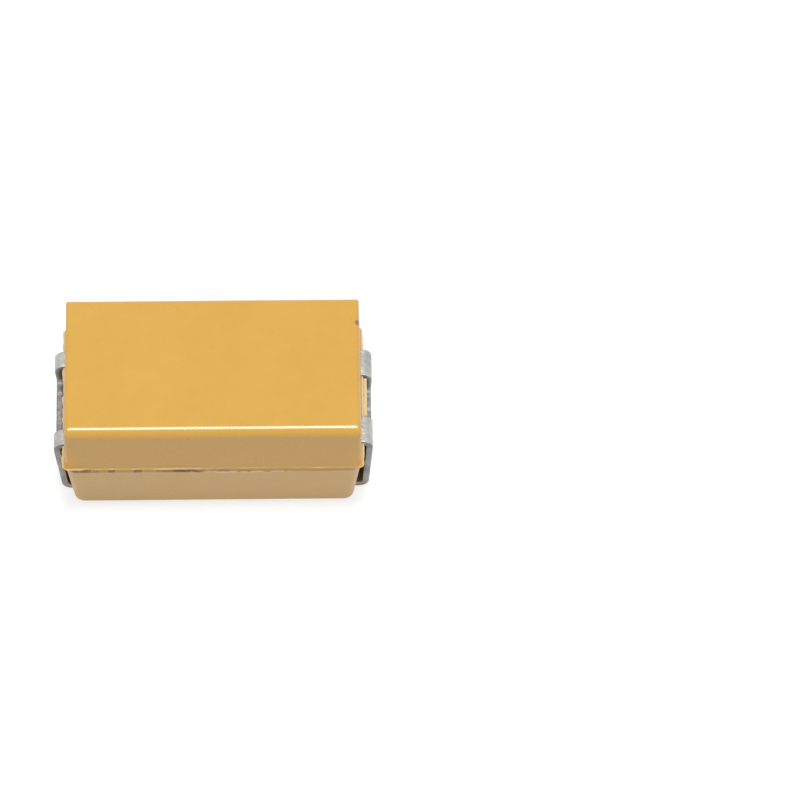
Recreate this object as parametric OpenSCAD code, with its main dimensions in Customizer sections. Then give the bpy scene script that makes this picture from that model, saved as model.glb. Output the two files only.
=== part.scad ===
// Moulded chip tantalum capacitor, case size 6032-28, standing on its two solder feet.
// X runs along the case, from the anode end to the cathode end, Y runs across it and Z is up.
// The origin is on the board, under the middle of the part. All sizes are in millimetres.

/* [Case] */
// Length over the two terminals
overall_l = 6; // [5.9:0.05:6.2]
// Length of the moulded case at its parting line
case_l = 5.57; // [5.51:0.02:5.63]
// Width of the moulded case at its parting line
case_w = 3.12; // [3.02:0.02:3.3]
// Height of the top of the case above the board
top_z = 2.6; // [2.5:0.05:2.8]
// Height of the parting line above the board
parting_z = 1.46; // [1.4:0.01:1.5]
// Height of the underside of the case above the board
standoff = 0.1; // [0.05:0.01:0.11]
// How far each side leans in from the parting line to the top
side_draft = 0.02; // [0.01:0.01:0.06]
// How far each end leans in from the parting line to the top
end_draft = 0.03; // [0.02:0.01:0.06]
// How far all four walls lean in from the parting line to the underside
lower_draft = 0.14; // [0.08:0.01:0.15]
// Radius of the two long edges of the top
long_edge_r = 0.18; // [0.1:0.01:0.22]
// Radius of the two short edges of the top
short_edge_r = 0.07; // [0.03:0.01:0.1]
// Corner radius of the upper half at the parting line, seen from above
upper_corner_r = 0.12; // [0.08:0.01:0.16]
// Corner radius of the lower half, seen from above
lower_corner_r = 0.2; // [0.12:0.01:0.26]
// Radius of the edge round the underside
under_edge_r = 0.05; // [0.03:0.01:0.08]
// How far the thin flash stands out along the parting line
flash_reach = 0.025; // [0.015:0.005:0.04]
// Thickness of that flash
flash_t = 0.04; // [0.02:0.01:0.06]

/* [Terminals] */
// Width of each terminal
lead_w = 2.1; // [2.1:0.05:2.3]
// Thickness of the lead frame's sheet
lead_t = 0.12; // [0.1:0.01:0.14]
// Inside radius of every bend
bend_r = 0.08; // [0.06:0.01:0.1]
// Length of each solder foot, from the outside of the terminal
foot_l = 1.3; // [1.1:0.05:1.5]
// Angle by which the anode terminal's outer wall leans out towards its top, in degrees
anode_lean = 6; // [2:0.5:7]
// Angle by which the cathode terminal's outer wall leans out towards its top, in degrees
cathode_lean = 3.5; // [2:0.5:7]
// Width of the window between the two fingers of the anode terminal
anode_window_w = 1.42; // [1.2:0.02:1.6]
// Width of the window between the two fingers of the cathode terminal
cathode_window_w = 0.92; // [0.8:0.02:1.2]
// Height of the sill under each window above the board
window_sill_z = 1.04; // [0.8:0.02:1.1]
// Width of the cathode terminal's plate under the element
plate_w = 1.6; // [1.2:0.05:1.9]
// Width of the anode terminal's tongue under the wire
tongue_w = 1; // [0.8:0.05:1.4]

/* [Capacitor element] */
// Length of the sintered pellet
pellet_l = 3.3; // [3:0.05:3.4]
// Width of the sintered pellet
pellet_w = 2.2; // [2:0.05:2.3]
// Height of the sintered pellet
pellet_h = 1.56; // [1.4:0.02:1.6]
// Diameter of the tantalum wire
wire_d = 0.3; // [0.24:0.02:0.34]
// Depth to which the wire is sintered into the pellet
wire_depth = 2.2; // [1.5:0.1:2.6]
// Outer diameter of the insulating washer
washer_d = 0.9; // [0.7:0.05:1.1]

/* [Hidden] */

case_color = [0.88, 0.69, 0.33];
lead_color = [0.76, 0.76, 0.74];
smooth = 48;
hull_smooth = 32;
// A length that is safely outside everything.
beyond = 10;

// Case
top_l = case_l - 2 * end_draft;
top_w = case_w - 2 * side_draft;
under_l = case_l - 2 * lower_draft;
under_w = case_w - 2 * lower_draft;
layer = 0.005;
under_edge_step = 22.5;
foot_pocket_gap = 0.03;
foot_gap = 0.02;
boss_reach = 0.115;
boss_gap = 0.03;
boss_root = 0.25;
boss_h = 0.3;
boss_lean = 0.02;

// Lead frame: a strip is followed along its middle plane.
bend_mid_r = bend_r + lead_t / 2;
foot_tip_x = overall_l / 2 - foot_l;
shoulder_x = overall_l / 2 - bend_mid_r - lead_t / 2;
window_root = 0.12;
window_corner_r = 0.09;
web_l = 0.24;

// Capacitor element: coats lie one on another, and the cathode side stops short of the anode face.
dioxide_t = 0.03;
graphite_t = 0.02;
silver_t = 0.03;
all_coats_t = dioxide_t + graphite_t + silver_t;
bare_band = 0.3;
adhesive_t = 0.05;
adhesive_climb = 0.7;
adhesive_setback = 0.15;
pellet_x = 0.11;
pellet_mid_z = (top_z + standoff) / 2 + 0.04;
pellet_end_x = pellet_x + pellet_l / 2;
pellet_face_x = pellet_x - pellet_l / 2;
washer_t = 0.14;
wire_stub_l = 0.72;
wire_end_x = pellet_face_x - wire_stub_l;
weld_flat = 0.03;
weld_l = 0.45;

// Steps inside the case: the strip drops from the parting line to the plate or to the tongue.
plate_z = pellet_mid_z - pellet_h / 2 - all_coats_t - adhesive_t - lead_t / 2;
riser_x = pellet_end_x + all_coats_t + adhesive_t + lead_t / 2;
plate_reach = 2.3;
tongue_step = 40;
tongue_z = pellet_mid_z - wire_d / 2 + weld_flat - lead_t / 2;
tongue_lead_in = 0.2;
tongue_l = 0.36;
plate_drop = parting_z - plate_z;
tongue_drop = parting_z - tongue_z;

// Straight length that, with its two bends, drops a strip by this much at this slope.
function slope_l(drop, slope) = (drop - 2 * bend_mid_r * (1 - cos(slope))) / sin(slope);

// Length of the outer wall that leans by this angle.
function wall_l(lean) = (parting_z - lead_t / 2 - 2 * bend_mid_r) / cos(lean);

// Flat length of the foot under a wall that leans by this angle.
function foot_flat_l(lean) = foot_l - bend_mid_r - lead_t / 2 - wall_l(lean) * sin(lean);

// Moves of the foot and the outer wall.
function foot_and_wall(lean) = [[foot_flat_l(lean), 90 - lean], [wall_l(lean), 90 + lean]];

cathode_moves = concat(foot_and_wall(cathode_lean), [
    [shoulder_x - riser_x - bend_mid_r, 90],
    [slope_l(plate_drop, 90), -90],
    [plate_reach, 0]
]);
anode_moves = concat(foot_and_wall(anode_lean), [
    [tongue_lead_in, tongue_step],
    [slope_l(tongue_drop, tongue_step), -tongue_step],
    [tongue_l, 0]
]);

// Point at this angle and distance.
function polar(angle, r) = r * [cos(angle), sin(angle)];

// Section of one bend. The strip comes in along +X and turns left, or right if turn is negative.
module bend(turn) {
    side = sign(turn);
    outer_r = bend_mid_r + lead_t / 2;
    start = -90 * side;
    translate([0, side * bend_mid_r])
        intersection() {
            difference() {
                circle(r = outer_r, $fn = smooth);
                circle(r = bend_r, $fn = smooth);
            }
            polygon([
                [0, 0],
                polar(start, 2 * outer_r),
                polar(start + turn / 2, 2 * outer_r),
                polar(start + turn, 2 * outer_r)
            ]);
        }
}

// Section of a folded strip: each move is a straight length and the turn that follows it.
module folded_strip(moves, i = 0) {
    straight = moves[i][0];
    turn = moves[i][1];
    side = sign(turn);
    translate([0, -lead_t / 2])
        square([straight, lead_t]);
    translate([straight, 0]) {
        if (turn != 0)
            bend(turn);
        if (i + 1 < len(moves))
            translate([0, side * bend_mid_r])
                rotate(turn)
                    translate([0, -side * bend_mid_r])
                        folded_strip(moves, i + 1);
    }
}

// Window that parts the fingers, with a round-cornered sill.
module finger_window(w) {
    root_x = case_l / 2 - window_root;
    translate([root_x, 0, 0])
        rotate([90, 0, 90])
            linear_extrude(overall_l / 2) {
                translate([-w / 2, window_sill_z + window_corner_r])
                    square([w, top_z]);
                translate([-w / 2 + window_corner_r, window_sill_z])
                    square([w - 2 * window_corner_r, top_z]);
                for (side = [-1, 1])
                    translate([side * (w / 2 - window_corner_r), window_sill_z + window_corner_r])
                        circle(r = window_corner_r, $fn = smooth);
            }
}

// One terminal, at the +X end.
module terminal(moves, inner_w, neck_x, window_w) {
    difference() {
        intersection() {
            translate([foot_tip_x, 0, lead_t / 2])
                rotate([90, 0, 0])
                    linear_extrude(lead_w, center = true)
                        folded_strip(moves);
            union() {
                // Below the case everything is full width, and so is all that is outside the neck.
                translate([neck_x, -lead_w / 2, -beyond])
                    cube([beyond, lead_w, 2 * beyond]);
                translate([0, -lead_w / 2, -beyond])
                    cube([beyond, lead_w, beyond + 2 * lead_t]);
                translate([-beyond, -inner_w / 2, -beyond])
                    cube([2 * beyond, inner_w, 2 * beyond]);
            }
        }
        finger_window(window_w);
    }
}

module cathode_terminal() {
    color(lead_color)
        terminal(cathode_moves, plate_w, riser_x + bend_mid_r, cathode_window_w);
}

module anode_terminal() {
    color(lead_color)
        mirror([1, 0, 0])
            terminal(anode_moves, tongue_w, case_l / 2 - window_root - web_l, anode_window_w);
}

// Four upright discs, a thin layer of a drafted half.
module corner_discs(l, w, r, z) {
    for (x = [-1, 1], y = [-1, 1])
        translate([x * (l / 2 - r), y * (w / 2 - r), z])
            cylinder(h = layer, r = r, $fn = hull_smooth);
}

// Lower half of the moulding, narrower towards the underside, whose edge is round.
module lower_half() {
    hull() {
        for (turn = [0 : under_edge_step : 90]) {
            inward = under_edge_r * (1 - sin(turn));
            z = standoff + under_edge_r * (1 - cos(turn));
            corner_discs(under_l - 2 * inward, under_w - 2 * inward, lower_corner_r - inward, z);
        }
        corner_discs(case_l, case_w, lower_corner_r, parting_z - layer);
    }
}

// Section across the upper half: two walls that lean in and two round top corners.
module upper_section(base, top, r) {
    lean = atan((base - top) / 2 / (top_z - parting_z));
    tangent_l = r * tan((90 - lean) / 2);
    wall_x = top / 2 + tangent_l * sin(lean);
    wall_z = top_z - tangent_l * cos(lean);
    arc_x = top / 2 - tangent_l;
    polygon([
        [-base / 2, parting_z],
        [base / 2, parting_z],
        [wall_x, wall_z],
        [arc_x, top_z],
        [-arc_x, top_z],
        [-wall_x, wall_z]
    ]);
    for (side = [-1, 1])
        translate([side * arc_x, top_z - r])
            circle(r = r, $fn = smooth);
}

// Rectangle with round corners.
module round_plan(l, w, r) {
    square([l - 2 * r, w], center = true);
    square([l, w - 2 * r], center = true);
    for (x = [-1, 1], y = [-1, 1])
        translate([x * (l / 2 - r), y * (w / 2 - r)])
            circle(r = r, $fn = smooth);
}

// Upper half, with well rounded long edges and crisp ends.
module upper_half() {
    intersection() {
        rotate([90, 0, 90])
            linear_extrude(beyond, center = true)
                upper_section(case_w, top_w, long_edge_r);
        rotate([90, 0, 0])
            linear_extrude(beyond, center = true)
                upper_section(case_l, top_l, short_edge_r);
        translate([0, 0, parting_z])
            linear_extrude(top_z)
                round_plan(case_l, case_w, upper_corner_r);
    }
}

// Flash squeezed out between the two halves of the mould.
module flash() {
    translate([0, 0, parting_z])
        linear_extrude(flash_t, center = true)
            round_plan(case_l + 2 * flash_reach, case_w + 2 * flash_reach, upper_corner_r);
}

// Boss that fills the cathode window, under the parting line.
module gate_boss() {
    tip_x = case_l / 2 + boss_reach;
    root_x = case_l / 2 - boss_root;
    rotate([90, 0, 0])
        linear_extrude(cathode_window_w - 2 * boss_gap, center = true)
            polygon([
                [root_x, parting_z],
                [tip_x - boss_lean, parting_z],
                [tip_x, parting_z - boss_lean],
                [tip_x - boss_lean, parting_z - boss_h],
                [root_x, parting_z - boss_h]
            ]);
}

// Pocket in the underside that takes a solder foot.
module foot_pocket() {
    translate([foot_tip_x - foot_pocket_gap, -lead_w / 2 - foot_pocket_gap, -beyond])
        cube([beyond, lead_w + 2 * foot_pocket_gap, beyond + lead_t + foot_gap]);
}

// Block round the pellet, thicker by t on every side, that begins at face_x on the anode side.
module pellet_block(t, face_x) {
    translate([face_x, -pellet_w / 2 - t, pellet_mid_z - pellet_h / 2 - t])
        cube([pellet_end_x + t - face_x, pellet_w + 2 * t, pellet_h + 2 * t]);
}

// Round bar along X, centred on the wire.
module wire_bar(from_x, to_x, d) {
    translate([from_x, 0, pellet_mid_z])
        rotate([0, 90, 0])
            cylinder(h = to_x - from_x, d = d, $fn = smooth);
}

// The element with all its coats, as one solid that the moulding closes round.
module coated_element() {
    pellet_block(dioxide_t, pellet_face_x - dioxide_t);
    pellet_block(all_coats_t, pellet_face_x + bare_band);
}

module moulded_case() {
    color(case_color)
        difference() {
            union() {
                lower_half();
                upper_half();
                flash();
                gate_boss();
            }
            foot_pocket();
            mirror([1, 0, 0])
                foot_pocket();
            coated_element();
            silver_adhesive();
            tantalum_wire();
            insulating_washer();
            anode_terminal();
            cathode_terminal();
        }
}

module tantalum_wire() {
    color([0.55, 0.55, 0.58])
        difference() {
            wire_bar(wire_end_x, pellet_face_x + wire_depth, wire_d);
            // The wire is pressed flat where it is welded to the anode terminal.
            translate([wire_end_x - beyond, -beyond / 2, tongue_z + lead_t / 2 - beyond])
                cube([beyond + weld_l, beyond, beyond]);
        }
}

module tantalum_pellet() {
    color([0.32, 0.32, 0.34])
        difference() {
            pellet_block(0, pellet_face_x);
            wire_bar(pellet_face_x - beyond, pellet_face_x + wire_depth, wire_d);
        }
}

module insulating_washer() {
    washer_x = pellet_face_x - dioxide_t - washer_t;
    color("white")
        difference() {
            wire_bar(washer_x, washer_x + washer_t, washer_d);
            wire_bar(washer_x - washer_t, washer_x + 2 * washer_t, wire_d);
        }
}

module manganese_dioxide_coat() {
    color([0.12, 0.1, 0.1])
        difference() {
            pellet_block(dioxide_t, pellet_face_x - dioxide_t);
            pellet_block(0, pellet_face_x);
            wire_bar(pellet_face_x - beyond, pellet_face_x + wire_depth, wire_d);
        }
}

module graphite_coat() {
    color([0.22, 0.22, 0.24])
        difference() {
            pellet_block(dioxide_t + graphite_t, pellet_face_x + bare_band);
            pellet_block(dioxide_t, pellet_face_x - dioxide_t);
        }
}

module silver_coat() {
    color([0.8, 0.8, 0.8])
        difference() {
            pellet_block(all_coats_t, pellet_face_x + bare_band);
            pellet_block(dioxide_t + graphite_t, pellet_face_x);
        }
}

// Conductive adhesive between the element and the cathode terminal's plate and riser.
module silver_adhesive() {
    bed_z = plate_z + lead_t / 2;
    bed_x = riser_x - bend_mid_r - plate_reach + adhesive_setback;
    color([0.68, 0.68, 0.66])
        difference() {
            translate([bed_x, -plate_w / 2 + adhesive_setback, bed_z])
                cube([riser_x - lead_t / 2 - bed_x, plate_w - 2 * adhesive_setback, adhesive_climb]);
            coated_element();
            cathode_terminal();
        }
}

moulded_case();
anode_terminal();
cathode_terminal();
tantalum_pellet();
tantalum_wire();
insulating_washer();
manganese_dioxide_coat();
graphite_coat();
silver_coat();
silver_adhesive();
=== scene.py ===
"""Moulded chip tantalum capacitor, standing on its two solder feet.

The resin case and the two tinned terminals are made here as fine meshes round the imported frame.
The capacitor element inside the case keeps the frame's own solids, with a finish for each layer.
Lengths in this script are in millimetres until a mesh is made, and MM turns them into metres.
"""

import math

import bmesh
import bpy
import numpy as np
from mathutils import Matrix, Vector, noise


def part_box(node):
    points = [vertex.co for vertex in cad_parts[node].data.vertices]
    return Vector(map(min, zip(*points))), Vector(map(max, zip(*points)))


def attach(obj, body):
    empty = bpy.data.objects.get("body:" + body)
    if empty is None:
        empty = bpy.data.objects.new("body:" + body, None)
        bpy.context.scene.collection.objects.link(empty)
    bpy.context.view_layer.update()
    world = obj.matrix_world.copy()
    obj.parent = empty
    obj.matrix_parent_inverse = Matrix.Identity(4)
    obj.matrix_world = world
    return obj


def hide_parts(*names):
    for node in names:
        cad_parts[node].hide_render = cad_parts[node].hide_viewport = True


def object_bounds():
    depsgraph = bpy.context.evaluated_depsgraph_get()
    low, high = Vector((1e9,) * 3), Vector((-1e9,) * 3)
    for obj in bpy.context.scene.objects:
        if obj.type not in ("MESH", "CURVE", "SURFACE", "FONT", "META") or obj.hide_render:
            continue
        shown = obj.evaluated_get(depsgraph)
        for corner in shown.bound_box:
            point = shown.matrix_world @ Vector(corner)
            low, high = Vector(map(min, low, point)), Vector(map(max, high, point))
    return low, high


MM = 0.001
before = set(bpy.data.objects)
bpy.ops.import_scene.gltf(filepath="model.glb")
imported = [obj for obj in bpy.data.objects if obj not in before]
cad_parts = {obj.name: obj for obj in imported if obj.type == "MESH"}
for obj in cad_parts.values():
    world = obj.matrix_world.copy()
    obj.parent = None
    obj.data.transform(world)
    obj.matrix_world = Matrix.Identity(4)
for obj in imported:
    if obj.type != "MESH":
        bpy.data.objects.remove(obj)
cad_low, cad_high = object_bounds()


# ---------------------------------------------------------------- sizes

def span(node):
    """Lowest and highest corner of a frame node, in millimetres."""
    low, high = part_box(node)
    return np.array(low) / MM, np.array(high) / MM


case_low, case_high = span("moulded_case")
cathode_low, cathode_high = span("cathode_terminal")

SHEET_T = 0.12
BEND_R = 0.08
ANODE_LEAN = 6.0
CATHODE_LEAN = 3.5
SILL_Z = 1.04
ANODE_WINDOW_W = 1.42
CATHODE_WINDOW_W = 0.92
PLATE_W = 1.6
TONGUE_W = 1.0
WINDOW_CORNER_R = 0.09
WINDOW_ROOT = 0.12
ANODE_WEB = 0.24
FOOT_L = 1.3
FLASH_OUT = 0.025

CASE_HALF_X = -case_low[0] - FLASH_OUT
CASE_HALF_Y = -case_low[1] - FLASH_OUT
UNDER_Z = case_low[2]
TOP_Z = case_high[2]
PARTING_Z = cathode_high[2] - SHEET_T / 2
TERMINAL_W = cathode_high[1] - cathode_low[1]
OVER_ALL_HALF = cathode_high[0]


# ---------------------------------------------------------------- node helpers

def add(tree, kind, inputs=None, **settings):
    """One node with its settings; each input is a value or the socket that feeds it."""
    made = tree.nodes.new(kind)
    for name, value in settings.items():
        setattr(made, name, value)
    for name, value in (inputs or {}).items():
        if isinstance(value, bpy.types.NodeSocket):
            tree.links.new(value, made.inputs[name])
        else:
            made.inputs[name].default_value = value
    return made


def calc(tree, operation, *values, clamp=False):
    """One step of arithmetic."""
    made = add(tree, "ShaderNodeMath", dict(enumerate(values)), operation=operation)
    made.use_clamp = clamp
    return made.outputs[0]


def between(tree, value, low, high, to_low=0.0, to_high=1.0):
    """value taken from low..high to to_low..to_high with soft ends."""
    return add(tree, "ShaderNodeMapRange", {
        "Value": value, "From Min": low, "From Max": high, "To Min": to_low, "To Max": to_high,
    }, interpolation_type="SMOOTHSTEP").outputs["Result"]


def blend_color(tree, share, first, second, how="MIX"):
    """Two colours mixed by share."""
    return add(tree, "ShaderNodeMix", {0: share, 6: first, 7: second},
               data_type="RGBA", blend_type=how).outputs[2]


def grain(tree, place, size, detail=3.0, roughness=0.55, twist=0.0):
    """Cloudy noise whose spots are about size millimetres across."""
    return add(tree, "ShaderNodeTexNoise", {
        "Vector": place, "Scale": 1.0 / size, "Detail": detail,
        "Roughness": roughness, "Distortion": twist,
    }).outputs["Fac"]


def stretched(tree, place, scale):
    """The place of each point, scaled along each axis, so that a pattern on it is drawn out."""
    return add(tree, "ShaderNodeMapping", {"Vector": place, "Scale": scale}).outputs[0]


def new_finish(name):
    """An empty material with its shader, its output and the place of each point in millimetres."""
    material = bpy.data.materials.new(name)
    material.use_nodes = True
    tree = material.node_tree
    tree.nodes.clear()
    shader = add(tree, "ShaderNodeBsdfPrincipled")
    out = add(tree, "ShaderNodeOutputMaterial")
    tree.links.new(shader.outputs[0], out.inputs["Surface"])
    where = add(tree, "ShaderNodeTexCoord").outputs["Object"]
    return material, tree, shader, stretched(tree, where, (1 / MM,) * 3)


def feed(tree, shader, **sockets):
    """Links sockets to the shader; Base_Color stands for Base Color."""
    for name, value in sockets.items():
        tree.links.new(value, shader.inputs[name.replace("_", " ")])


def bumped(tree, height, depth, strength=1.0):
    """A normal from a height that runs from 0 to 1 over depth millimetres."""
    return add(tree, "ShaderNodeBump", {
        "Height": height, "Distance": depth * MM, "Strength": strength,
    }).outputs[0]


def color(red, green, blue):
    return (red, green, blue, 1.0)


# ---------------------------------------------------------------- finishes

NICK_AT = (2.74, 0.93, 2.57)
LIP_LINE_Z = PARTING_Z - 0.140
LIP_MIDDLE_X = 0.57

# Brown patches under the flash along the front, partly stain and partly painted shadow of the
# flash: middle, half-length and strength.
STAINS_AND_SHADOWS = [
    (-2.48, 0.19, 0.75), (-2.20, 0.06, 0.55), (-1.91, 0.06, 0.80), (-1.42, 0.08, 0.75),
    (-0.90, 0.16, 0.55), (-0.48, 0.29, 1.00), (0.20, 0.10, 0.25),
]


def resin_finish():
    """Tan moulding resin: polished on top, grainy on the sides, stained and painted with shadow
    under the flash.
    """
    material, tree, shader, place = new_finish("tan moulded resin")
    axis = add(tree, "ShaderNodeSeparateXYZ", {0: place}).outputs
    facing = add(tree, "ShaderNodeSeparateXYZ", {
        0: add(tree, "ShaderNodeNewGeometry").outputs["Normal"]}).outputs
    is_top = between(tree, facing[2], 0.06, 0.72)
    is_side = calc(tree, "SUBTRACT", 1.0, is_top)

    clouds = grain(tree, place, 1.6, 3.0, 0.5)
    mottle = grain(tree, place, 0.28, 4.0, 0.6)
    fine = grain(tree, place, 0.045, 3.0, 0.6)
    sand = grain(tree, place, 0.018, 2.0, 0.5)

    body = color(0.700, 0.387, 0.047)
    pale = color(0.720, 0.410, 0.062)
    deep = color(0.665, 0.360, 0.040)
    tint = blend_color(tree, between(tree, clouds, 0.35, 0.68), deep, pale)
    tint = blend_color(tree, 0.55, tint, body)
    tint = blend_color(tree, calc(tree, "MULTIPLY", between(tree, mottle, 0.35, 0.7), 0.25),
                       tint, pale)
    # Painted shade and painted floor reflection: the sides are painted darker and greyer than the
    # polished top by which way they face, and greyer still under the parting line. The sides are
    # also duller, through their roughness further down.
    is_lower = between(tree, axis[2], PARTING_Z - 0.10, PARTING_Z + 0.02, 1.0, 0.0)
    side = blend_color(tree, is_lower, color(0.632, 0.362, 0.084), color(0.612, 0.376, 0.115))
    tint = blend_color(tree, calc(tree, "MULTIPLY", is_side, 0.92), tint, side)
    # Painted light: the upper half is painted a brighter, deeper orange towards its lower corners,
    # where side light and light passing through the rounded edges would brighten it.
    at_end = between(tree, calc(tree, "ABSOLUTE", axis[0]), CASE_HALF_X - 0.34, CASE_HALF_X - 0.02)
    low_down = between(tree, axis[2], PARTING_Z + 0.05, PARTING_Z + 0.75, 1.0, 0.0)
    upper = calc(tree, "SUBTRACT", 1.0, is_lower)
    corner = calc(tree, "MULTIPLY", calc(tree, "MULTIPLY", at_end, low_down),
                  calc(tree, "MULTIPLY", upper, is_side))
    tint = blend_color(tree, calc(tree, "MULTIPLY", corner, 0.75), tint, color(0.82, 0.38, 0.030))
    speckle = calc(tree, "MULTIPLY", between(tree, fine, 0.30, 0.72, 1.0, 0.0), 0.20)
    speckle = calc(tree, "MULTIPLY", speckle, between(tree, is_side, 0.0, 1.0, 0.35, 1.0))
    tint = blend_color(tree, speckle, tint, color(0.50, 0.25, 0.035))

    # The flash is thin resin and is painted paler than the body. Part of this paleness is painted
    # light, for the overhead light on its upper side.
    beyond_x = calc(tree, "SUBTRACT", calc(tree, "ABSOLUTE", axis[0]), CASE_HALF_X)
    beyond_y = calc(tree, "SUBTRACT", calc(tree, "ABSOLUTE", axis[1]), CASE_HALF_Y)
    out_by = calc(tree, "MAXIMUM", beyond_x, beyond_y)
    off_line = calc(tree, "ABSOLUTE", calc(tree, "SUBTRACT", axis[2], PARTING_Z + 0.005))
    is_flash = calc(tree, "MULTIPLY", between(tree, out_by, 0.004, 0.030),
                    between(tree, off_line, 0.030, 0.045, 1.0, 0.0))
    tint = blend_color(tree, calc(tree, "MULTIPLY", is_flash, 0.85), tint,
                       color(0.85, 0.68, 0.38))

    # Brown stain and painted shadow of the flash in the band under it, in patches on the anode half
    # of the front.
    below = calc(tree, "SUBTRACT", PARTING_Z - 0.01, axis[2])
    band = calc(tree, "MULTIPLY", between(tree, below, 0.0, 0.02),
                between(tree, below, 0.10, 0.19, 1.0, 0.0))
    patchy = grain(tree, stretched(tree, place, (1.0, 1.0, 0.35)), 0.16, 4.0, 0.6)
    patches = 0.12
    for middle, half, strength in STAINS_AND_SHADOWS:
        off = calc(tree, "ABSOLUTE", calc(tree, "SUBTRACT", axis[0], middle))
        patches = calc(tree, "MAXIMUM", patches, between(tree, off, half * 0.8, half * 1.2,
                                                         strength, 0.0))
    on_front = between(tree, axis[1], -1.5, -1.3, 1.0, 0.0)
    stain_and_shadow = calc(tree, "MULTIPLY", calc(tree, "MULTIPLY", band, patches),
                 calc(tree, "MULTIPLY", on_front, between(tree, patchy, 0.28, 0.47)))
    tint = blend_color(tree, calc(tree, "MULTIPLY", stain_and_shadow, 0.95), tint,
                       color(0.16, 0.085, 0.045))

    # The second lip is thin like the flash. Pale glints are painted along it in patches, a painted
    # highlight where it would catch the overhead light.
    off_lip = calc(tree, "ABSOLUTE", calc(tree, "SUBTRACT", axis[2], LIP_LINE_Z))
    on_lip = between(tree, off_lip, 0.006, 0.015, 1.0, 0.0)
    along = calc(tree, "ABSOLUTE", calc(tree, "SUBTRACT", axis[0], LIP_MIDDLE_X))
    in_reach = between(tree, along, 0.80, 0.95, 1.0, 0.0)
    lip = calc(tree, "MULTIPLY", calc(tree, "MULTIPLY", on_lip, in_reach),
               calc(tree, "MULTIPLY", between(tree, patchy, 0.40, 0.55), on_front))
    tint = blend_color(tree, calc(tree, "MULTIPLY", lip, 0.9), tint, color(0.94, 0.88, 0.74))

    # One dark chip on the top edge.
    to_nick = add(tree, "ShaderNodeVectorMath", {0: place, 1: NICK_AT}, operation="DISTANCE")
    nick = between(tree, to_nick.outputs["Value"], 0.045, 0.085, 1.0, 0.0)
    tint = blend_color(tree, calc(tree, "MULTIPLY", nick, 0.8), tint, color(0.18, 0.11, 0.06))

    gloss = between(tree, mottle, 0.3, 0.7, 0.20, 0.28)
    gloss = calc(tree, "ADD", gloss, calc(tree, "MULTIPLY", is_side, 0.12))
    gloss = calc(tree, "ADD", gloss, calc(tree, "MULTIPLY", stain_and_shadow, 0.25))
    height = calc(tree, "ADD", calc(tree, "MULTIPLY", fine, 0.7), calc(tree, "MULTIPLY", sand, 0.3))
    rise = calc(tree, "MULTIPLY", height, between(tree, is_side, 0.0, 1.0, 0.14, 1.0))
    feed(tree, shader, Base_Color=tint, Roughness=gloss, Normal=bumped(tree, rise, 0.0022, 0.6))
    shader.inputs["IOR"].default_value = 1.6
    return material


def tin_finish(name, body, dark, rough):
    """Dull tin plating: cloudy, faintly yellow and blue by turns, with a stain near the case."""
    material, tree, shader, place = new_finish(name)
    axis = add(tree, "ShaderNodeSeparateXYZ", {0: place}).outputs
    clouds = grain(tree, place, 0.35, 4.0, 0.6, 0.4)
    fine = grain(tree, place, 0.05, 4.0, 0.65)
    rolled = grain(tree, stretched(tree, place, (1.0, 9.0, 1.0)), 0.30, 3.0, 0.6)
    tint = blend_color(tree, between(tree, clouds, 0.35, 0.68), body, dark)
    tint = blend_color(tree, calc(tree, "MULTIPLY", between(tree, fine, 0.42, 0.70), 0.45),
                       tint, color(0.30, 0.29, 0.27))
    warm = grain(tree, place, 0.22, 2.0, 0.5)
    tint = blend_color(tree, calc(tree, "MULTIPLY", between(tree, warm, 0.52, 0.70), 0.25),
                       tint, color(0.66, 0.64, 0.50))
    # Resin bleed and handling dirt where the strip leaves the case.
    near_case = between(tree, calc(tree, "ABSOLUTE", axis[0]),
                        CASE_HALF_X, CASE_HALF_X + 0.06, 1.0, 0.0)
    bleed = calc(tree, "MULTIPLY", near_case, between(tree, fine, 0.38, 0.62))
    tint = blend_color(tree, calc(tree, "MULTIPLY", bleed, 0.6), tint, color(0.52, 0.33, 0.15))
    gloss = between(tree, calc(tree, "ADD", fine, calc(tree, "MULTIPLY", rolled, 0.5)),
                    0.4, 1.1, rough - 0.10, rough + 0.14)
    height = calc(tree, "ADD", calc(tree, "MULTIPLY", fine, 0.6),
                  calc(tree, "MULTIPLY", rolled, 0.4))
    feed(tree, shader, Base_Color=tint, Roughness=gloss, Normal=bumped(tree, height, 0.011, 0.9))
    shader.inputs["Metallic"].default_value = 1.0
    return material


def layer_finish(name, low, high, rough, metal, spot, depth, streak=(1.0, 1.0, 1.0)):
    """Finish of one layer inside the case, from its two colours, gloss, spot size and relief."""
    material, tree, shader, place = new_finish(name)
    spots = grain(tree, stretched(tree, place, streak), spot, 5.0, 0.65)
    clouds = grain(tree, place, spot * 9, 2.0, 0.5)
    share = calc(tree, "ADD", calc(tree, "MULTIPLY", between(tree, spots, 0.3, 0.7), 0.7),
                 calc(tree, "MULTIPLY", between(tree, clouds, 0.3, 0.7), 0.3))
    feed(tree, shader, Base_Color=blend_color(tree, share, low, high),
         Roughness=between(tree, spots, 0.3, 0.7, rough - 0.1, rough + 0.1),
         Normal=bumped(tree, spots, depth, 0.8))
    shader.inputs["Metallic"].default_value = metal
    return material


resin = resin_finish()
tin = tin_finish("dull tin plating", color(0.60, 0.60, 0.55), color(0.42, 0.43, 0.43), 0.46)
sheared = tin_finish("sheared edge of the strip", color(0.34, 0.33, 0.34),
                     color(0.19, 0.19, 0.20), 0.50)

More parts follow.
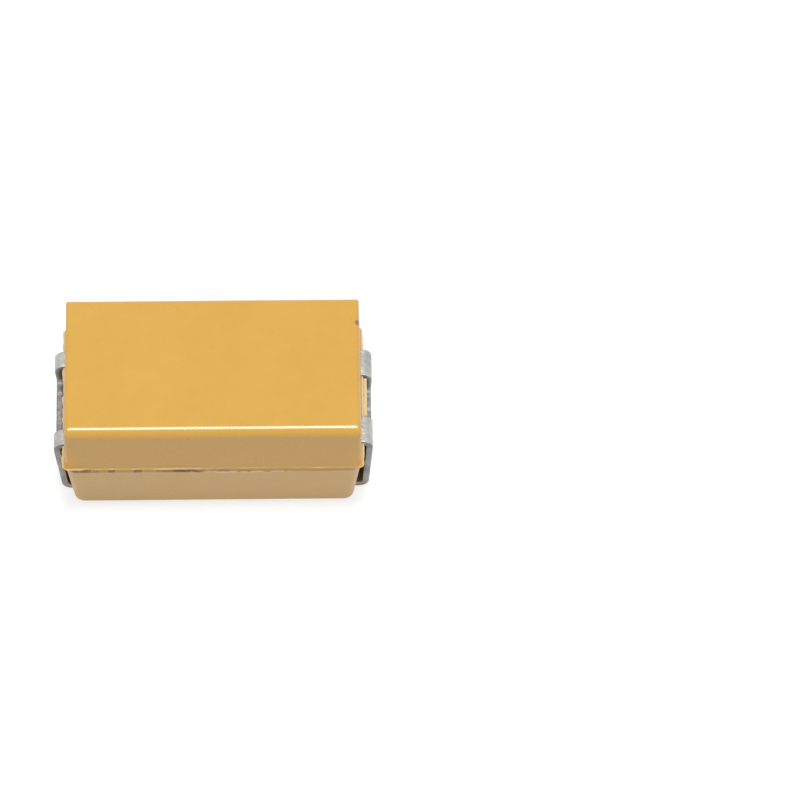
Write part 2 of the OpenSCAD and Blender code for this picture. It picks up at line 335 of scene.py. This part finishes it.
LAYER_FINISHES = {
    "tantalum_pellet": layer_finish(
        "sintered tantalum", color(0.10, 0.10, 0.11), color(0.24, 0.24, 0.25), 0.75, 0.6, 0.02,
        0.012),
    "tantalum_wire": layer_finish(
        "drawn tantalum wire", color(0.30, 0.31, 0.34), color(0.46, 0.47, 0.50), 0.32, 1.0, 0.03,
        0.003, (0.08, 1.0, 1.0)),
    "insulating_washer": layer_finish(
        "white washer plastic", color(0.72, 0.72, 0.70), color(0.84, 0.84, 0.82), 0.42, 0.0, 0.06,
        0.002),
    "manganese_dioxide_coat": layer_finish(
        "manganese dioxide crust", color(0.012, 0.010, 0.010), color(0.055, 0.045, 0.040), 0.78,
        0.0, 0.025, 0.010),
    "graphite_coat": layer_finish(
        "burnished graphite", color(0.030, 0.030, 0.033), color(0.095, 0.095, 0.100), 0.42, 0.3,
        0.05, 0.003, (0.3, 1.0, 1.0)),
    "silver_coat": layer_finish(
        "silver paint", color(0.50, 0.50, 0.49), color(0.70, 0.70, 0.68), 0.48, 0.8, 0.05, 0.005),
    "silver_adhesive": layer_finish(
        "silver adhesive", color(0.42, 0.41, 0.39), color(0.60, 0.59, 0.56), 0.58, 0.6, 0.035,
        0.008),
}
for node, finish in LAYER_FINISHES.items():
    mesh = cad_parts[node].data
    mesh.materials.clear()
    mesh.materials.append(finish)


# ---------------------------------------------------------------- mesh helpers

def put_in_scene(name, mesh):
    piece = bpy.data.objects.new(name, mesh)
    bpy.context.scene.collection.objects.link(piece)
    return piece


def mesh_of(name, points, faces):
    """A mesh from points in millimetres."""
    mesh = bpy.data.meshes.new(name)
    mesh.from_pydata((np.asarray(points) * MM).tolist(), [], faces)
    mesh.validate()
    return mesh


def settle(piece):
    """Turns what the piece's modifiers make into its plain mesh."""
    bpy.context.view_layer.update()
    made = bpy.data.meshes.new_from_object(
        piece.evaluated_get(bpy.context.evaluated_depsgraph_get()))
    piece.modifiers.clear()
    piece.data = made
    return piece


def drop(piece):
    bpy.data.objects.remove(piece)


def cut(piece, tool, how="DIFFERENCE"):
    """Cuts tool out of piece, or joins it on, and removes the tool."""
    step = piece.modifiers.new("cut", "BOOLEAN")
    step.operation = how
    step.solver = "MANIFOLD"
    step.object = tool
    settle(piece)
    drop(tool)


def merged_copy(node):
    """A frame node's shape with its loose triangles joined up, to cut with."""
    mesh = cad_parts[node].data.copy()
    work = bmesh.new()
    work.from_mesh(mesh)
    bmesh.ops.remove_doubles(work, verts=work.verts, dist=1e-4 * MM)
    work.to_mesh(mesh)
    work.free()
    return put_in_scene("tool_" + node, mesh)


def block(low, high, name="tool_block"):
    """A plain cutting block between two corners in millimetres."""
    work = bmesh.new()
    bmesh.ops.create_cube(work, size=1.0)
    middle, size = (np.array(low) + high) / 2, np.array(high) - low
    for corner in work.verts:
        corner.co = Vector((np.array(corner.co) * size + middle) * MM)
    mesh = bpy.data.meshes.new(name)
    work.to_mesh(mesh)
    work.free()
    return put_in_scene(name, mesh)


def wave(point, size, shift=0.0):
    """Smooth noise from -1 to 1 whose swells are about size millimetres long."""
    return noise.noise(Vector((point[0] / size + shift, point[1] / size - shift,
                               point[2] / size + 2 * shift)))


def shade(piece, angle):
    """Smooth shading, with edges sharper than angle kept sharp."""
    piece.data.polygons.foreach_set("use_smooth", [True] * len(piece.data.polygons))
    piece.data.set_sharp_from_angle(angle=math.radians(angle))


# ---------------------------------------------------------------- moulded case

CELL = 0.03
CORNER_CELLS = 8
LONG_EDGE_R = 0.185
SHORT_EDGE_R = 0.07
UNDER_EDGE_R = 0.05
TOP_IN_X = 0.03
TOP_IN_Y = 0.02
UNDER_IN = 0.14
LOWER_CORNER_R = 0.20
UPPER_CORNER_R = 0.12
TOP_CORNER_R = 0.035
FLASH_CORNER_R = 0.09
CAP_MARGIN = 0.10
LEAST_FLASH = 0.004

# Where the flash stands out further along the front: middle, half-length and extra reach.
FRONT_SPURS = [
    (-2.55, 0.17, 0.022), (-2.15, 0.06, 0.014), (-1.90, 0.05, 0.012), (-1.42, 0.10, 0.012),
    (-0.72, 0.42, 0.016), (-0.28, 0.08, 0.012), (0.60, 0.10, 0.006), (1.95, 0.12, 0.006),
]
# Where a second lip shows under the flash along the front: the same three numbers.
FRONT_LIPS = [
    (-0.29, 0.04, 0.016), (0.20, 0.16, 0.014), (0.62, 0.18, 0.014), (1.05, 0.10, 0.010),
    (1.38, 0.06, 0.008),
]
# Section up past the parting line: rise from the lip, inset, share of flash and share of lip.
PARTING_SECTION = [
    (0.000, 0.008, 0.0, 0.3), (0.008, 0.005, 0.0, 1.0), (0.018, 0.005, 0.0, 0.9),
    (0.026, 0.010, 0.0, 0.1), (0.045, 0.013, 0.0, 0.0), (0.080, 0.013, 0.0, 0.0),
    (0.115, 0.011, 0.0, 0.0), (0.128, 0.004, 0.20, 0.0), (0.136, 0.0, 0.70, 0.0),
    (0.145, 0.0, 0.97, 0.0), (0.155, 0.0, 1.0, 0.0), (0.163, 0.0, 0.80, 0.0),
    (0.170, 0.0, 0.35, 0.0), (0.180, 0.0, 0.05, 0.0),
]
LIP_DROP = 0.150
UPPER_WALL_RISE = 0.19
UNDER_EDGE_STEPS = 4
LOWER_WALL_STEPS = 24
UPPER_WALL_STEPS = 18
LONG_EDGE_STEPS = 16
SHORT_EDGE_STEPS = 9


def swell(x, list_of_swells):
    """Sum of soft bumps along X."""
    total = 0.0
    for middle, half, reach in list_of_swells:
        away = (x - middle) / half
        total += reach * math.exp(-away ** 4)
    return total


def outline(half_x, half_y, corner_r, cells_x, cells_y):
    """Rectangle with round corners, anticlockwise from the left end of the front side."""
    flat_x, flat_y = half_x - corner_r, half_y - corner_r
    points = []
    corners = [(flat_x, -flat_y, -90), (flat_x, flat_y, 0), (-flat_x, flat_y, 90),
               (-flat_x, -flat_y, 180)]
    starts = [(-flat_x, -half_y), (half_x, -flat_y), (flat_x, half_y), (-half_x, flat_y)]
    ends = [(flat_x, -half_y), (half_x, flat_y), (-flat_x, half_y), (-half_x, -flat_y)]
    for side in range(4):
        cells = cells_x if side % 2 == 0 else cells_y
        start, end = np.array(starts[side]), np.array(ends[side])
        for step in range(cells):
            points.append(start + (end - start) * step / cells)
        middle_x, middle_y, first = corners[side]
        for step in range(CORNER_CELLS):
            turn = math.radians(first + 90 * step / CORNER_CELLS)
            points.append((middle_x + corner_r * math.cos(turn),
                           middle_y + corner_r * math.sin(turn)))
    return np.array(points)


def outward(points):
    """Unit outward direction at each point of a closed outline."""
    along = np.roll(points, -1, axis=0) - np.roll(points, 1, axis=0)
    out = np.stack([along[:, 1], -along[:, 0]], axis=1)
    return out / np.maximum(np.linalg.norm(out, axis=1), 1e-12)[:, None]


def flash_reach(point, out):
    """How far the flash stands out at one point of the parting line.

    The sides are the front, the back, the anode end and the cathode end, each with the flash's mean
    reach, how ragged it is, how much it sways, and its spurs.
    """
    x, y = point
    rough = wave((x, y, 0.0), 0.16, 3.1) + 0.6 * wave((x, y, 0.0), 0.06, 7.7)
    slow = wave((x, y, 0.0), 0.7, 1.3)
    spurs = swell(x, FRONT_SPURS)
    reach = 0.0
    for faces_side, mean, ragged, swaying, spur in (
        (-out[1], 0.014, 0.007, 0.0, spurs),
        (out[1], 0.018, 0.008, 0.0, 0.0),
        (-out[0], 0.054, 0.024, 0.016, 0.0),
        (out[0], 0.046, 0.015, 0.012, 0.0),
    ):
        reach += max(0.0, faces_side) * (mean + ragged * rough + swaying * slow + spur)
    return max(LEAST_FLASH, reach)


def drawn_in(z, radius):
    """How far a top edge of this radius has drawn in at one height."""
    up = max(0.0, z - (TOP_Z - radius))
    return radius - math.sqrt(max(0.0, radius ** 2 - up ** 2))


def case_levels():
    """Levels from the underside up: height, insets, corner radius, flash share, lip share."""
    levels = []
    for step in range(UNDER_EDGE_STEPS + 1):
        turn = math.radians(90 * step / UNDER_EDGE_STEPS)
        inward = UNDER_EDGE_R * (1 - math.sin(turn))
        levels.append((UNDER_Z + UNDER_EDGE_R * (1 - math.cos(turn)), UNDER_IN + inward,
                       UNDER_IN + inward, LOWER_CORNER_R - inward, 0.0, 0.0))
    low_z, lip_z = UNDER_Z + UNDER_EDGE_R, PARTING_Z - LIP_DROP
    for step in range(1, LOWER_WALL_STEPS):
        share = step / LOWER_WALL_STEPS
        inward = UNDER_IN * (1 - share) + 0.010 * share
        levels.append((low_z + (lip_z - low_z) * share, inward, inward, LOWER_CORNER_R, 0.0, 0.0))
    for rise, inward, reach, lip in PARTING_SECTION:
        blend = min(1.0, rise / 0.12)
        corner = LOWER_CORNER_R * (1 - blend) + FLASH_CORNER_R * blend
        levels.append((lip_z + rise, inward, inward, corner, reach, lip))
    wall_low = lip_z + UPPER_WALL_RISE
    heights = {wall_low + (TOP_Z - LONG_EDGE_R - wall_low) * step / UPPER_WALL_STEPS
               for step in range(UPPER_WALL_STEPS)}
    for radius, steps in ((LONG_EDGE_R, LONG_EDGE_STEPS), (SHORT_EDGE_R, SHORT_EDGE_STEPS)):
        heights |= {round(TOP_Z - radius * (1 - math.sin(math.radians(90 * step / steps))), 5)
                    for step in range(steps + 1)}
    for z in sorted(heights):
        share = (z - wall_low) / (TOP_Z - wall_low)
        corner = UPPER_CORNER_R + (TOP_CORNER_R - UPPER_CORNER_R) * share
        levels.append((z, TOP_IN_X * share + drawn_in(z, SHORT_EDGE_R),
                       TOP_IN_Y * share + drawn_in(z, LONG_EDGE_R), corner, 0.0, 0.0))
    return levels


def case_shell():
    """The outside of the moulding as one closed mesh of rings and two caps."""
    cells_x = int(round(2 * CASE_HALF_X / CELL))
    cells_y = int(round(2 * CASE_HALF_Y / CELL))
    nominal = outline(CASE_HALF_X, CASE_HALF_Y, UPPER_CORNER_R, cells_x, cells_y)
    nominal_out = outward(nominal)
    count = len(nominal)
    reach = np.array([flash_reach(p, o) for p, o in zip(nominal, nominal_out)])
    lips = np.array([0.003 + (swell(p[0], FRONT_LIPS) if o[1] < -0.7 else 0.004)
                     for p, o in zip(nominal, nominal_out)])
    lips *= np.array([1.0 + 0.5 * wave((p[0], p[1], 0.0), 0.09, 5.5) for p in nominal])
    droop = np.array([0.006 * wave((p[0], p[1], 0.0), 0.5, 9.1) for p in nominal])

    points, rings = [], []
    levels = case_levels()
    for z, in_x, in_y, corner, reach_share, lip_share in levels:
        ring = outline(CASE_HALF_X - in_x, CASE_HALF_Y - in_y, corner, cells_x, cells_y)
        out = outward(ring)
        push = reach * reach_share + lips * lip_share
        # The mould's polish is not quite flat, and its edges are not quite straight.
        push = push + np.array([
            0.0022 * wave((p[0], p[1], z), 0.9, 0.4) + 0.0007 * wave((p[0], p[1], z), 0.22, 2.2)
            for p in ring])
        ring = ring + out * push[:, None]
        lift = droop * (1.0 if reach_share else 0.0)
        rings.append(range(len(points), len(points) + count))
        points.extend((p[0], p[1], z + dz) for p, dz in zip(ring, lift))

    faces = []
    for low, high in zip(rings[:-1], rings[1:]):
        for i in range(count):
            j = (i + 1) % count
            faces.append((low[i], low[j], high[j], high[i]))

    def cap(ring, z, half_x, half_y, upward):
        across, deep = cells_x + CORNER_CELLS, cells_y + CORNER_CELLS
        grid = [[0] * (deep + 1) for _ in range(across + 1)]
        for i in range(across + 1):
            for j in range(deep + 1):
                x, y = half_x * (2 * i / across - 1), half_y * (2 * j / deep - 1)
                grid[i][j] = len(points)
                points.append((x, y, z + 0.0012 * wave((x, y, z), 1.1, 4.4)))
        edge = [grid[i][0] for i in range(across)] + [grid[across][j] for j in range(deep)]
        edge += [grid[i][deep] for i in range(across, 0, -1)]
        edge += [grid[0][j] for j in range(deep, 0, -1)]
        first = -CORNER_CELLS // 2
        around = [ring[(i + first) % count] for i in range(count)]
        found = []
        for i in range(count):
            j = (i + 1) % count
            found.append((around[i], around[j], edge[j], edge[i]))
        for i in range(across):
            for j in range(deep):
                found.append((grid[i][j], grid[i + 1][j], grid[i + 1][j + 1], grid[i][j + 1]))
        faces.extend(found if upward else [tuple(reversed(f)) for f in found])

    top_x = CASE_HALF_X - TOP_IN_X - SHORT_EDGE_R - CAP_MARGIN
    top_y = CASE_HALF_Y - TOP_IN_Y - LONG_EDGE_R - CAP_MARGIN
    cap(rings[-1], TOP_Z, top_x, top_y, True)
    under = UNDER_IN + UNDER_EDGE_R + CAP_MARGIN
    cap(rings[0], UNDER_Z, CASE_HALF_X - under, CASE_HALF_Y - under, False)

    points = np.array(points)
    # A chip is missing from the top edge near the back of the cathode end.
    away = np.linalg.norm(points - NICK_AT, axis=1)
    dent = 0.035 * np.exp(-(away / 0.042) ** 2)
    points -= dent[:, None] * np.array([0.75, 0.0, 0.65])
    return put_in_scene("moulded_body", mesh_of("moulded_body", points, faces))


BOSS_W = 0.86
BOSS_H = 0.30
BOSS_TIP = case_high[0]


def gate_boss():
    """Block of resin that fills the cathode window, with soft edges."""
    work = bmesh.new()
    bmesh.ops.create_cube(work, size=1.0)
    low = np.array([CASE_HALF_X - 0.2, -BOSS_W / 2, PARTING_Z - BOSS_H])
    high = np.array([BOSS_TIP, BOSS_W / 2, PARTING_Z + 0.004])
    for corner in work.verts:
        corner.co = Vector((np.array(corner.co) * (high - low) + (low + high) / 2) * MM)
    bmesh.ops.bevel(work, geom=list(work.edges), offset=0.022 * MM, segments=3, profile=0.5,
                    affect="EDGES")
    mesh = bpy.data.meshes.new("tool_boss")
    work.to_mesh(mesh)
    work.free()
    return put_in_scene("tool_boss", mesh)


FOOT_GAP = 0.02
FOOT_SIDE_GAP = 0.03
CUT_PAST = 1.0


def moulded_body():
    body = case_shell()
    cut(body, gate_boss(), "UNION")
    tip = OVER_ALL_HALF - FOOT_L - FOOT_SIDE_GAP
    deep = SHEET_T + FOOT_GAP
    half_w = TERMINAL_W / 2 + FOOT_SIDE_GAP
    beyond = OVER_ALL_HALF + CUT_PAST
    cut(body, block((tip, -half_w, -CUT_PAST), (beyond, half_w, deep)))
    cut(body, block((-beyond, -half_w, -CUT_PAST), (-tip, half_w, deep)))
    for node in ("manganese_dioxide_coat", "silver_coat", "silver_adhesive"):
        low, high = span(node)
        cut(body, block(low, high))
    for node in ("insulating_washer", "tantalum_wire", "anode_terminal", "cathode_terminal"):
        cut(body, merged_copy(node))
    body.data.materials.clear()
    body.data.materials.append(resin)
    shade(body, 38)
    return body


# ---------------------------------------------------------------- folded terminals

BEND_MID_R = BEND_R + SHEET_T / 2
FOOT_TIP_X = OVER_ALL_HALF - FOOT_L
SHOULDER_X = OVER_ALL_HALF - BEND_MID_R - SHEET_T / 2


def foot_and_wall(lean):
    """The foot and the wall, each as a straight and the bend that follows it."""
    lean_turn = math.radians(lean)
    wall_l = (PARTING_Z - SHEET_T / 2 - 2 * BEND_MID_R) / math.cos(lean_turn)
    foot_l = FOOT_L - BEND_MID_R - SHEET_T / 2 - wall_l * math.sin(lean_turn)
    return [(foot_l, 90 - lean), (wall_l, 90 + lean)]


def slope_length(drop_by, slope):
    """Straight length between two bends that together drop the strip by drop_by."""
    turn = math.radians(slope)
    return (drop_by - 2 * BEND_MID_R * (1 - math.cos(turn))) / math.sin(turn)


def sharp_corners(moves):
    """Corners of the strip's middle line before it is rounded, in the XZ plane of the +X end."""
    at, heading = np.array([FOOT_TIP_X, 0.0, SHEET_T / 2]), 0.0
    corners, carry = [at], 0.0
    for straight, turn in moves:
        reach = BEND_MID_R * math.tan(math.radians(abs(turn)) / 2)
        run = carry + straight + reach
        along = np.array([math.cos(math.radians(heading)), 0.0, math.sin(math.radians(heading))])
        at = at + along * run
        corners.append(at)
        heading += turn
        carry = reach
    return corners


def length_before(moves, index):
    """Length of the strip up to the start of one straight."""
    return sum(straight + BEND_MID_R * math.radians(abs(turn)) for straight, turn in moves[:index])


def fold_tree(material):
    """Folds a flat blank: X on the blank is the length along a path with round corners."""
    tree = bpy.data.node_groups.new("folded strip", "GeometryNodeTree")
    face = tree.interface
    face.new_socket("Blank", in_out="INPUT", socket_type="NodeSocketGeometry")
    names = ["Foot tip", "Heel", "Shoulder", "Step top", "Step foot", "Inner end"]
    for name in names:
        face.new_socket(name, in_out="INPUT", socket_type="NodeSocketVector")
    for name in ("Bend radius", "Dent depth", "Dent size"):
        face.new_socket(name, in_out="INPUT", socket_type="NodeSocketFloat")
    face.new_socket("Seed", in_out="INPUT", socket_type="NodeSocketInt")
    face.new_socket("Strip", in_out="OUTPUT", socket_type="NodeSocketGeometry")
    given = tree.nodes.new("NodeGroupInput").outputs
    chain = add(tree, "GeometryNodeMeshLine", {"Count": len(names)}, mode="OFFSET")
    index = add(tree, "GeometryNodeInputIndex").outputs[0]
    pick = add(tree, "GeometryNodeIndexSwitch", data_type="VECTOR")
    while len(pick.index_switch_items) < len(names):
        pick.index_switch_items.new()
    tree.links.new(index, pick.inputs["Index"])
    for number, name in enumerate(names):
        tree.links.new(given[name], pick.inputs[1 + number])
    corners = add(tree, "GeometryNodeSetPosition", {
        "Geometry": chain.outputs[0], "Position": pick.outputs[0]})
    path = add(tree, "GeometryNodeMeshToCurve", {0: corners.outputs[0]})
    rounded = add(tree, "GeometryNodeFilletCurve", {
        "Curve": path.outputs[0], "Count": 24, "Radius": given["Bend radius"]}, mode="POLY")
    place = add(tree, "ShaderNodeSeparateXYZ", {
        0: add(tree, "GeometryNodeInputPosition").outputs[0]})
    on_path = add(tree, "GeometryNodeSampleCurve", {
        "Curves": rounded.outputs[0], "Length": place.outputs[0]}, mode="LENGTH",
        use_all_curves=True)
    sideways = add(tree, "ShaderNodeCombineXYZ", {1: place.outputs[1]})
    folded = add(tree, "GeometryNodeSetPosition", {
        "Geometry": given["Blank"],
        "Position": add(tree, "ShaderNodeVectorMath", {
            0: on_path.outputs["Position"], 1: sideways.outputs[0]}, operation="ADD").outputs[0]})
    rough = add(tree, "ShaderNodeTexNoise", {
        "W": calc(tree, "ADD", 0.5, given["Seed"]),
        "Scale": calc(tree, "DIVIDE", 1.0, given["Dent size"]), "Detail": 1.0},
        noise_dimensions="4D")
    tall = calc(tree, "MULTIPLY", calc(tree, "SUBTRACT", rough.outputs[0], 0.5),
                given["Dent depth"])
    offset = add(tree, "ShaderNodeVectorMath", {
        0: add(tree, "GeometryNodeInputNormal").outputs[0], "Scale": tall}, operation="SCALE")
    dented = add(tree, "GeometryNodeSetPosition", {
        "Geometry": folded.outputs[0], "Offset": offset.outputs[0]})
    plain = add(tree, "GeometryNodeRealizeInstances", {0: dented.outputs[0]})
    done = add(tree, "GeometryNodeSetMaterial", {"Geometry": plain.outputs[0]})
    done.inputs["Material"].default_value = material
    out = tree.nodes.new("NodeGroupOutput")
    tree.links.new(done.outputs[0], out.inputs[0])
    return tree


def set_inputs(modifier, values):
    """Gives a geometry tree its named inputs, by each socket's identifier."""
    for item in modifier.node_group.interface.items_tree:
        if item.in_out == "INPUT" and item.name in values:
            modifier[item.identifier] = values[item.name]


def lines(breaks, step):
    """Positions from the first break to the last, through every break, at most step apart."""
    breaks = sorted(set(round(b, 6) for b in breaks))
    found = [breaks[0]]
    for low, high in zip(breaks[:-1], breaks[1:]):
        cells = max(1, math.ceil((high - low) / step))
        found.extend(low + (high - low) * n / cells for n in range(1, cells + 1))
    return found


def blank(name, moves, inner_w, window_w, neck_at, side):
    """Flat blank of one terminal: a strip with its finger window, narrow beyond the neck."""
    total = length_before(moves, len(moves))
    heading = math.radians(moves[0][1])
    sill_up = SILL_Z - SHEET_T / 2 - BEND_MID_R * (1 - math.cos(heading))
    window_from = length_before(moves, 1) + sill_up / math.sin(heading)
    shoulder_at = length_before(moves, 2)
    window_to = shoulder_at + (SHOULDER_X - (CASE_HALF_X - WINDOW_ROOT))
    neck = shoulder_at + (SHOULDER_X - neck_at)
    half_w, half_in, half_win = TERMINAL_W / 2, inner_w / 2, window_w / 2
    bends = [length_before(moves, n) for n in range(len(moves))]
    bends += [length_before(moves, n) + moves[n][0] for n in range(len(moves))]
    along = lines([0.0, total, window_from, window_from + WINDOW_CORNER_R, window_to, neck] + bends,
                  0.03)
    across = lines([-half_w, -half_in, -half_win, -half_win + WINDOW_CORNER_R,
                    half_win - WINDOW_CORNER_R, half_win, half_in, half_w], 0.035)
    spots, faces, where = [], [], {}

    def spot(i, j):
        if (i, j) not in where:
            u, v = along[i], across[j]
            # Round the two corners of the sill.
            down, in_by = u - window_from, half_win - abs(v)
            r = WINDOW_CORNER_R
            if abs(down) < 1e-5 and -1e-5 < in_by < r:
                turn = math.radians(45 * (1 + in_by / r))
            elif abs(in_by) < 1e-5 and -1e-5 < down < r:
                turn = math.radians(45 * (1 - down / r))
            else:
                turn = None
            if turn is not None:
                u = window_from + r * (1 - math.sin(turn))
                v = math.copysign(half_win - r * (1 - math.cos(turn)), v)
            elif abs(down) < 1e-5 and in_by > 0:
                # The sill was nibbled, and kept a few burrs.
                u += (0.010 * wave((v, 0.0, side), 0.10, 6.0)
                      + 0.006 * wave((v, 0.0, side), 0.04, 8.0))
            where[i, j] = len(spots)
            spots.append((u, v, 0.0))
        return where[i, j]

    for i in range(len(along) - 1):
        for j in range(len(across) - 1):
            u, v = (along[i] + along[i + 1]) / 2, (across[j] + across[j + 1]) / 2
            if window_from < u < window_to and abs(v) < half_win:
                continue
            if u > neck and abs(v) > half_in:
                continue
            faces.append((spot(i, j), spot(i + 1, j), spot(i + 1, j + 1), spot(i, j + 1)))
    return mesh_of(name, spots, faces)


def terminal(name, moves, inner_w, window_w, neck_at, side, seed):
    """One terminal: its blank folded, thickened and given soft edges."""
    piece = put_in_scene(name, blank(name, moves, inner_w, window_w, neck_at, side))
    piece.data.materials.append(tin)
    piece.data.materials.append(sheared)
    fold = piece.modifiers.new("fold", "NODES")
    fold.node_group = FOLD_TREE
    corners = [Vector(c * MM * np.array([side, 1.0, 1.0])) for c in sharp_corners(moves)]
    names = ["Foot tip", "Heel", "Shoulder", "Step top", "Step foot", "Inner end"]
    set_inputs(fold, {**dict(zip(names, corners)), "Bend radius": BEND_MID_R * MM,
                      "Dent depth": 0.010 * MM, "Dent size": 0.45 * MM, "Seed": seed})
    sheet = piece.modifiers.new("sheet", "SOLIDIFY")
    sheet.thickness = SHEET_T * MM
    sheet.offset = 0.0
    sheet.use_even_offset = True
    sheet.material_offset_rim = 1
    soft = piece.modifiers.new("soft edges", "BEVEL")
    soft.width = 0.014 * MM
    soft.segments = 2
    soft.limit_method = "ANGLE"
    soft.angle_limit = math.radians(50)
    settle(piece)
    work = bmesh.new()
    work.from_mesh(piece.data)
    bmesh.ops.recalc_face_normals(work, faces=work.faces)
    work.to_mesh(piece.data)
    work.free()
    # The dents may not lift the foot off the board or sink it.
    for corner in piece.data.vertices:
        corner.co.z = max(corner.co.z, 0.0)
    shade(piece, 40)
    return piece


wire_low = span("tantalum_wire")[0]
adhesive_low, adhesive_high = span("silver_adhesive")
PLATE_Z = adhesive_low[2] - SHEET_T / 2
RISER_X = adhesive_high[0] + SHEET_T / 2
PLATE_END_X = cathode_low[0]
TONGUE_Z = wire_low[2] - SHEET_T / 2
TONGUE_LEAD_IN = 0.20
TONGUE_STEP = 40
TONGUE_L = 0.36

cathode_moves = foot_and_wall(CATHODE_LEAN) + [
    (SHOULDER_X - RISER_X - BEND_MID_R, 90),
    (slope_length(PARTING_Z - PLATE_Z, 90), -90),
    (RISER_X - BEND_MID_R - PLATE_END_X, 0),
]
anode_moves = foot_and_wall(ANODE_LEAN) + [
    (TONGUE_LEAD_IN, TONGUE_STEP),
    (slope_length(PARTING_Z - TONGUE_Z, TONGUE_STEP), -TONGUE_STEP),
    (TONGUE_L, 0),
]

FOLD_TREE = fold_tree(tin)
body = moulded_body()
anode = terminal("anode_strap", anode_moves, TONGUE_W, ANODE_WINDOW_W,
                 CASE_HALF_X - WINDOW_ROOT - ANODE_WEB, -1.0, 3)
cathode = terminal("cathode_strap", cathode_moves, PLATE_W, CATHODE_WINDOW_W,
                   RISER_X + BEND_MID_R, 1.0, 11)

for piece, node, slot in (
    (body, "moulded_case", "epoxy"),
    (anode, "anode_terminal", "tinned_lead"),
    (cathode, "cathode_terminal", "tinned_lead"),
):
    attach(piece, "root")
    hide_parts(node)


# ---------------------------------------------------------------- stage, lights and camera

def seen_directly(tree):
    """1 for rays that show the background: from the camera, or off gloss and glass."""
    path = add(tree, "ShaderNodeLightPath").outputs
    seen = calc(tree, "MAXIMUM", path["Is Camera Ray"], path["Is Glossy Ray"])
    return calc(tree, "MAXIMUM", seen, path["Is Transmission Ray"])


FLOOR_HALF = 150.0
FLOOR_SHADE = 0.88
FLOOR_GLOW = 0.75


def floor():
    """Plain white floor that keeps a soft shadow, and shows nothing from below."""
    points = [(-FLOOR_HALF, -FLOOR_HALF, 0), (FLOOR_HALF, -FLOOR_HALF, 0),
              (FLOOR_HALF, FLOOR_HALF, 0), (-FLOOR_HALF, FLOOR_HALF, 0)]
    plane = put_in_scene("floor", mesh_of("floor", points, [(0, 1, 2, 3)]))
    material = bpy.data.materials.new("white floor")
    material.use_nodes = True
    tree = material.node_tree
    tree.nodes.clear()
    bounced = add(tree, "ShaderNodeBsdfDiffuse", {"Color": color(*(FLOOR_SHADE,) * 3)}).outputs[0]
    dim = add(tree, "ShaderNodeBsdfDiffuse", {"Color": color(*(0.35,) * 3)}).outputs[0]
    glow = add(tree, "ShaderNodeEmission", {"Strength": FLOOR_GLOW}).outputs[0]
    shown = add(tree, "ShaderNodeAddShader", {0: dim, 1: glow}).outputs[0]
    lit = add(tree, "ShaderNodeMixShader", {
        0: seen_directly(tree), 1: bounced, 2: shown}).outputs[0]
    clear = add(tree, "ShaderNodeBsdfTransparent").outputs[0]
    behind = add(tree, "ShaderNodeNewGeometry").outputs["Backfacing"]
    whole = add(tree, "ShaderNodeMixShader", {0: behind, 1: lit, 2: clear}).outputs[0]
    out = add(tree, "ShaderNodeOutputMaterial")
    tree.links.new(whole, out.inputs["Surface"])
    plane.data.materials.append(material)


def studio_air():
    """Even light from all round, and white where the background shows."""
    world = bpy.data.worlds.new("studio air")
    bpy.context.scene.world = world
    world.use_nodes = True
    tree = world.node_tree
    tree.nodes.clear()
    ambient = add(tree, "ShaderNodeBackground", {"Color": color(1, 1, 1), "Strength": 0.45})
    white = add(tree, "ShaderNodeBackground", {"Color": color(1, 1, 1), "Strength": 1.0})
    both = add(tree, "ShaderNodeMixShader", {
        0: seen_directly(tree), 1: ambient.outputs[0], 2: white.outputs[0]})
    out = add(tree, "ShaderNodeOutputWorld")
    tree.links.new(both.outputs[0], out.inputs["Surface"])


def softbox(name, at, size, radiance, aim=(0.0, 0.0, 1.3)):
    """A flat lamp at a place in millimetres, turned to the part."""
    lamp = bpy.data.lights.new(name, "AREA")
    lamp.shape = "RECTANGLE"
    lamp.size, lamp.size_y = size[0] * MM, size[1] * MM
    lamp.energy = radiance * 4 * lamp.size * lamp.size_y
    holder = bpy.data.objects.new(name, lamp)
    bpy.context.scene.collection.objects.link(holder)
    holder.location = Vector(at) * MM
    holder.rotation_euler = (Vector(aim) - Vector(at)).to_track_quat("-Z", "Y").to_euler()
    holder.visible_camera = False
    return holder


def camera():
    """A long lens that looks down on the front of the part, which stands left of its middle."""
    elevation, azimuth, roll = math.radians(56.6), math.radians(1.6), math.radians(0.85)
    distance, aside, above = 132.6, 3.525, 0.055
    ahead = Vector((math.sin(azimuth) * math.cos(elevation),
                    math.cos(azimuth) * math.cos(elevation), -math.sin(elevation)))
    right = Vector((math.cos(azimuth), -math.sin(azimuth), 0.0))
    up = right.cross(ahead)
    turned_right = right * math.cos(roll) + up * math.sin(roll)
    turned_up = -right * math.sin(roll) + up * math.cos(roll)
    middle = (cad_low + cad_high) / 2 / MM
    at = middle - ahead * distance + turned_right * aside + turned_up * above
    lens = bpy.data.cameras.new("camera")
    lens.sensor_width = 36.0
    lens.lens = 316.0
    lens.clip_start, lens.clip_end = 0.005, 1.0
    holder = bpy.data.objects.new("camera", lens)
    bpy.context.scene.collection.objects.link(holder)
    axes = Matrix((turned_right, turned_up, -ahead)).transposed()
    holder.matrix_world = Matrix.Translation(at * MM) @ axes.to_4x4()
    bpy.context.scene.camera = holder


floor()
studio_air()
softbox("overhead softbox", (4.0, -2.0, 150.0), (52.0, 37.0), 18.4)
camera()
bpy.context.scene.view_settings.view_transform = "Standard"
